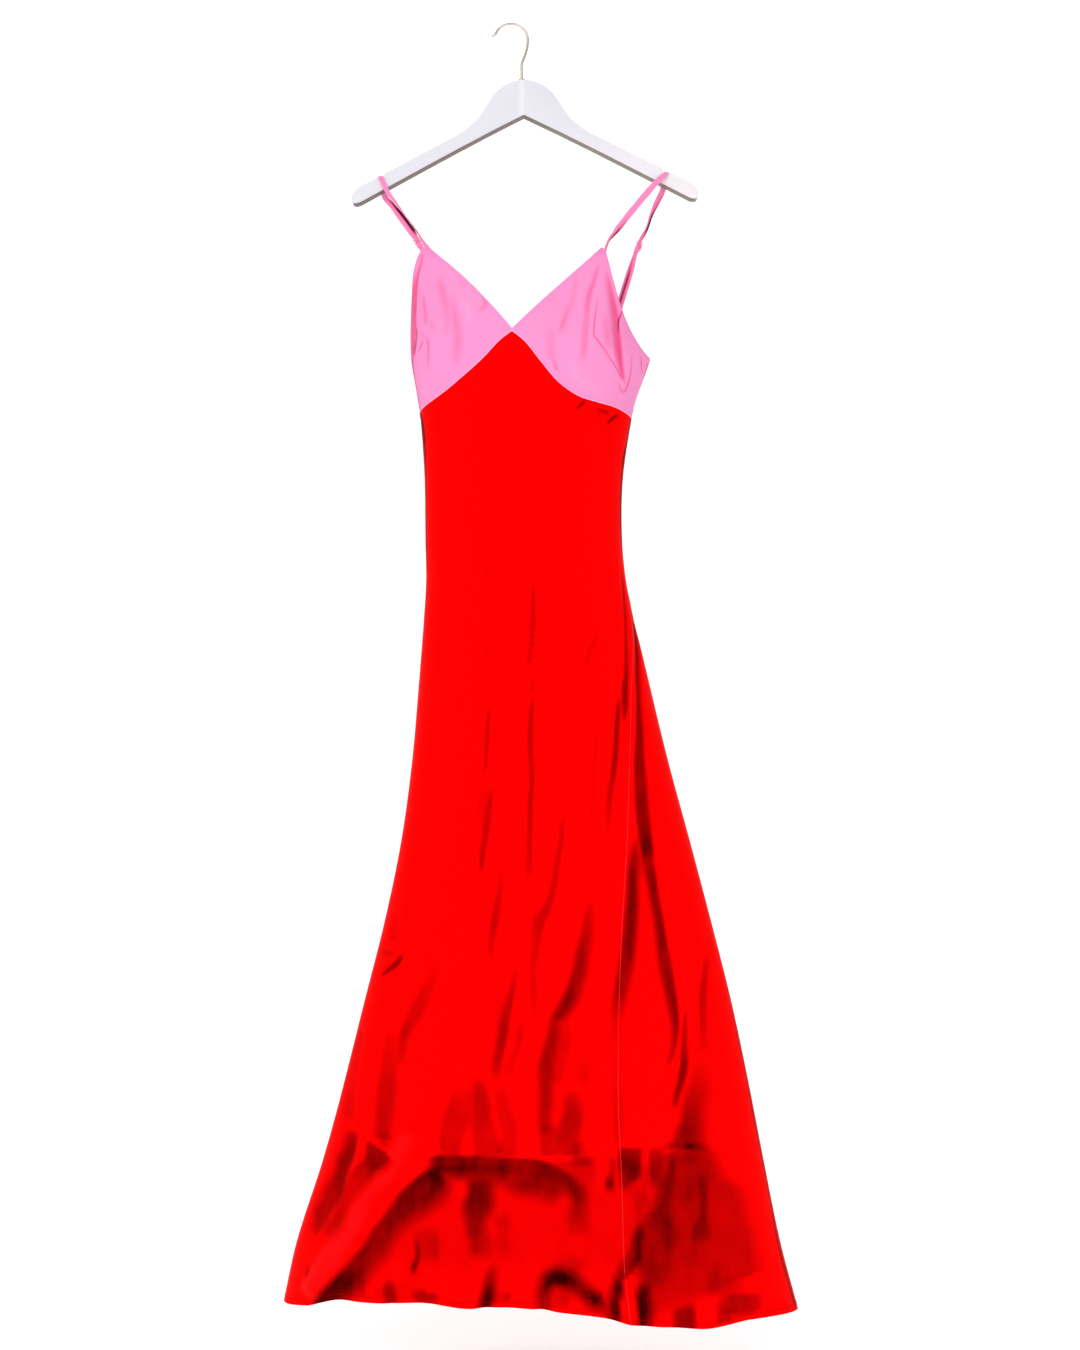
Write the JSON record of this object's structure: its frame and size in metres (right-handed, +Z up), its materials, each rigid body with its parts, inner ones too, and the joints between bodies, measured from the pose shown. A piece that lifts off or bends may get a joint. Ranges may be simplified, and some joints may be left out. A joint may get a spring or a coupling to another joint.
{
  "type": "slip dress on clothes hanger",
  "caption": "Long bias-cut slip dress with satin cups, thin adjustable straps and a flared skirt, hanging by its straps from a wooden hanger.",
  "frame": {"origin": "inner top of the hanger's hook, where a rail holds it", "axes": "+Z up, +X to the right as seen from the front, the dress's front faces -Y"},
  "size_m": [0.6601, 0.1761, 1.6517],
  "materials": {
    "pink_satin": "soft satin",
    "red_satin": "fluid satin",
    "red_lining": "fine plain weave",
    "strap_satin": "satin, pressed flat",
    "coated_trim": "nylon-coated, gloss",
    "painted_wood": "white satin paint",
    "hook_wire": "plated wire"
  },
  "bodies": {
    "root": {"cup_right": "pink_satin", "cup_left": "pink_satin", "back_bodice": "pink_satin", "skirt_front": "red_satin", "skirt_back": "red_satin", "lining_front": "red_lining", "lining_back": "red_lining", "strap_right": "strap_satin", "strap_left": "strap_satin", "tab_right": "strap_satin", "tab_left": "strap_satin", "ring_right": "coated_trim", "ring_left": "coated_trim", "slider_right": "coated_trim", "slider_left": "coated_trim", "hanger_body": "painted_wood", "hanger_hook": "hook_wire", "hook_collar": "hook_wire"}
  },
  "joints": []
}
